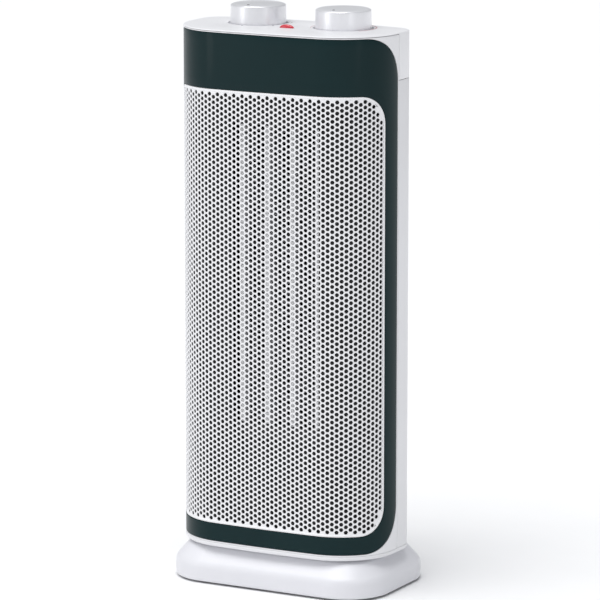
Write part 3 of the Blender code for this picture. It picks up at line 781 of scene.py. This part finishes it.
def tower_floor():
    """The tower's floor with its eased lower edge, and the hub that turns in the base."""
    bm = bmesh.new()
    stops = plan_stops(-HALF, HALF)[:-1]
    levels = (
        (1.6, FLOOR_Z0),
        (0.9, FLOOR_Z0 + 0.15),
        (0.3, FLOOR_Z0 + 0.6),
        (0.0, FLOOR_Z0 + 1.3),
        (0.0, FLOOR_Z1),
    )
    rows = [plan_row(bm, stops, inset, z) for inset, z in levels]
    bridge(bm, rows)
    bm.faces.new(rows[-1])
    bm.faces.new(list(reversed(rows[0])))
    hub = [(0.0, 28.2), (12.0, 28.2), (12.0, 25.0), (11.5, 24.5), (0.0, 24.5)]
    lathe(bm, hub, 0.0, SWING_Y, 64)
    make("turntable_floor", bm, "tower", ("tower_floor",), (WHITE,), sharp=35.0)


top_cover()
rear_housing()
tower_floor()


# ---------------------------------------------------------------- base
CORD_R, CORD_Z = 5.0, 9.4


def cord_inlet():
    """What is cut out of the back of the base for the cord's bush."""
    cutter = bmesh.new()
    turns = [2.0 * math.pi * k / 48 for k in range(48)]
    rows = []
    for y in (46.0, 60.0):
        ring = [(CORD_R * math.cos(a), y, CORD_Z + CORD_R * math.sin(a)) for a in turns]
        rows.append([cutter.verts.new(p) for p in ring])
    bridge(cutter, rows)
    for ring in rows:
        cutter.faces.new(ring)
    return cutter


def base_cover():
    """The base's shell: a bevelled rounded rectangle outside, and a round opening for the hub on top."""
    bm = bmesh.new()
    profile = rounded(
        [(0.5, 1.8), (0.0, 3.0), (0.0, 14.5), (10.6, 26.1), (13.5, BASE_TOP_Z)],
        radius=3.2,
        steps=6,
    )
    rows = []
    for inset, z in profile:
        outline = rounded_rectangle(BASE_W - inset, BASE_D - inset, BASE_R - inset)
        rows.append([bm.verts.new((px, py, z)) for px, py in outline])
    angles = np.unwrap([math.atan2(py - SWING_Y, px) for px, py in outline])
    for r in (34.0, 12.6):
        ring = [(r * math.cos(a), SWING_Y + r * math.sin(a), BASE_TOP_Z) for a in angles]
        rows.append([bm.verts.new(p) for p in ring])
    bridge(bm, rows)
    # The inner face of the wall takes black as painted shade inside the base.
    make(
        "base_shell", bm, "base", ("base_cover",), (BASE_WHITE, BLACK_AND_SHADE), sharp=40.0,
        solid=WALL_T, holes=cord_inlet()
    )


base_cover()


# ---------------------------------------------------------------- knobs, lens, printed scales
DOT_REACH = 15.2


def knob(name, node, body, x):
    """A satin knob with a collar at its foot, and a pointer dot let into its top."""
    lo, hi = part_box(node)
    top = hi.z / MM
    bottom = lo.z / MM
    bm = bmesh.new()
    profile = rounded(
        [
            (0.0, top),
            (18.0, top - 0.55),
            (KNOB_R - 0.3, top - 1.5),
            (KNOB_R, bottom + 1.75),
            (KNOB_R - 0.25, bottom + 1.55),
            (KNOB_R + 0.5, bottom + 1.3),
            (KNOB_R + 0.5, bottom + 0.15),
            (KNOB_R - 0.6, bottom),
            (0.0, bottom),
        ],
        radius=0.7,
        steps=5,
    )
    lathe(bm, profile, x, KNOB_Y, 128)
    make(name, bm, body, (node,), (SILVER,), sharp=50.0)
    mark = bmesh.new()
    dot = [(0.0, top - 0.25), (0.95, top - 0.28), (1.15, top - 0.6), (0.0, top - 0.6)]
    lathe(mark, dot, x, KNOB_Y - DOT_REACH, 32)
    make(name + "_dot", mark, body, (), (DOT,))


knob("selector_cap", "selector_knob", "selector", -KNOB_X)
knob("thermostat_cap", "thermostat_knob", "thermostat_control", KNOB_X)


def lens():
    """A long low dome of red plastic, standing through its window between the knobs."""
    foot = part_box("indicator_lens")[0].z / MM
    steps = 48
    profile = (
        (0.0, foot),
        (0.0, COVER_Z - 0.2),
        (0.0, COVER_Z + 0.35),
        (0.05, COVER_Z + 0.8),
        (0.14, COVER_Z + 1.25),
        (0.27, COVER_Z + 1.7),
        (0.43, COVER_Z + 2.05),
        (0.6, COVER_Z + 2.3),
        (0.8, COVER_Z + 2.45),
        (0.97, COVER_Z + 2.5),
    )
    bm = bmesh.new()
    rows = []
    for shrink, z in profile:
        half_x = 5.7 * (1.0 - shrink)
        half_y = 1.7 * (1.0 - shrink)
        row = []
        for k in range(steps):
            a = 2.0 * math.pi * k / steps
            c, d = math.cos(a), math.sin(a)
            x = math.copysign(abs(c) ** 0.8, c) * half_x
            y = LENS_Y + math.copysign(abs(d) ** 0.8, d) * half_y
            row.append(bm.verts.new((x, y, z)))
        rows.append(row)
    bridge(bm, rows)
    bm.faces.new(rows[-1])
    bm.faces.new(list(reversed(rows[0])))
    make("indicator_window", bm, "tower", ("indicator_lens",), (LENS,), sharp=60.0)


lens()


def thermostat_scale():
    """A flat printed arc round the thermostat knob, growing from a quarter of its width to all of it."""
    bm = bmesh.new()
    inner_r, width = 23.6, 1.4
    start, end = 215.0, -35.0
    steps = 64
    rows = []
    for k in range(steps + 1):
        t = k / steps
        a = math.radians(start + (end - start) * t)
        radii = (inner_r, inner_r + width * (0.25 + 0.75 * t))
        arc = [(KNOB_X + r * math.cos(a), KNOB_Y + r * math.sin(a), COVER_Z + 0.04) for r in radii]
        rows.append([bm.verts.new(p) for p in arc])
    for a, b in zip(rows, rows[1:]):
        bm.faces.new((a[0], a[1], b[1], b[0]))
    make(
        "thermostat_scale", bm, "tower", (), (PRINT,), recalc=False, solid=0.05, offset=0.0
    )


def selector_scale():
    """Four printed dots round the selector knob."""
    bm = bmesh.new()
    reach = 24.6
    low, high = COVER_Z + 0.01, COVER_Z + 0.07
    for degrees in (-90.0, -35.0, 20.0, 75.0):
        a = math.radians(degrees)
        dot = [(0.0, high), (0.7, high), (0.7, low), (0.0, low)]
        lathe(bm, dot, -KNOB_X + reach * math.cos(a), KNOB_Y + reach * math.sin(a), 24)
    make("selector_scale", bm, "tower", (), (DOT,))


thermostat_scale()
selector_scale()


# ---------------------------------------------------------------- stage, light and camera
def stage():
    """A pale floor that reaches past every view, a soft room, two strip lights and a broad overhead light."""
    mesh = bpy.data.meshes.new("floor")
    bm = bmesh.new()
    bmesh.ops.create_grid(bm, x_segments=4, y_segments=4, size=80.0)
    bm.to_mesh(mesh)
    bm.free()
    floor = bpy.data.objects.new("floor", mesh)
    bpy.context.scene.collection.objects.link(floor)
    paint = material("floor_paint", (0.92, 0.92, 0.925), 0.7, vary=0.005, bump_scale=60.0)
    mesh.materials.append(paint)

    world = bpy.data.worlds.new("soft_room")
    world.use_nodes = True
    world.node_tree.nodes["Background"].inputs["Color"].default_value = (0.95, 0.97, 1.0, 1.0)
    world.node_tree.nodes["Background"].inputs["Strength"].default_value = 0.5
    bpy.context.scene.world = world
    bpy.context.scene.view_settings.view_transform = "Standard"

    def area(name, place, aim, size, power, colour=(1.0, 1.0, 1.0)):
        light = bpy.data.lights.new(name, "AREA")
        light.shape = "RECTANGLE"
        light.size, light.size_y = size
        light.energy = power
        light.color = colour
        obj = bpy.data.objects.new(name, light)
        obj.location = place
        obj.rotation_euler = (Vector(aim) - Vector(place)).to_track_quat("-Z", "Y").to_euler()
        bpy.context.scene.collection.objects.link(obj)

    area("strip_left", (-1.3, -1.5, 0.75), (0.0, 0.0, 0.3), (0.35, 1.3), 3.2)
    area("strip_right", (1.7, -1.0, 0.75), (0.0, 0.0, 0.3), (0.30, 1.3), 0.9)
    data = bpy.data.lights.new("overhead", "SUN")
    data.energy = 2.25
    data.angle = math.radians(50.0)
    overhead = bpy.data.objects.new("overhead", data)
    overhead.rotation_euler = Vector((0.10, 0.33, -1.0)).to_track_quat("-Z", "Y").to_euler()
    bpy.context.scene.collection.objects.link(overhead)


def camera():
    """The photo's view, in degrees, metres and, for the lens, millimetres."""
    azimuth = math.radians(28.56)
    elevation = math.radians(10.73)
    distance = 2.9286
    target = Vector((0.03072, -0.0535, 0.22086))
    ahead = Vector((
        -math.sin(azimuth) * math.cos(elevation),
        math.cos(azimuth) * math.cos(elevation),
        -math.sin(elevation),
    ))
    data = bpy.data.cameras.new("camera")
    data.sensor_width = 36.0
    data.lens = 243.156
    data.clip_end = 50.0
    obj = bpy.data.objects.new("camera", data)
    obj.location = target - ahead * distance
    obj.rotation_euler = ahead.to_track_quat("-Z", "Y").to_euler()
    bpy.context.scene.collection.objects.link(obj)
    bpy.context.scene.camera = obj


stage()
camera()
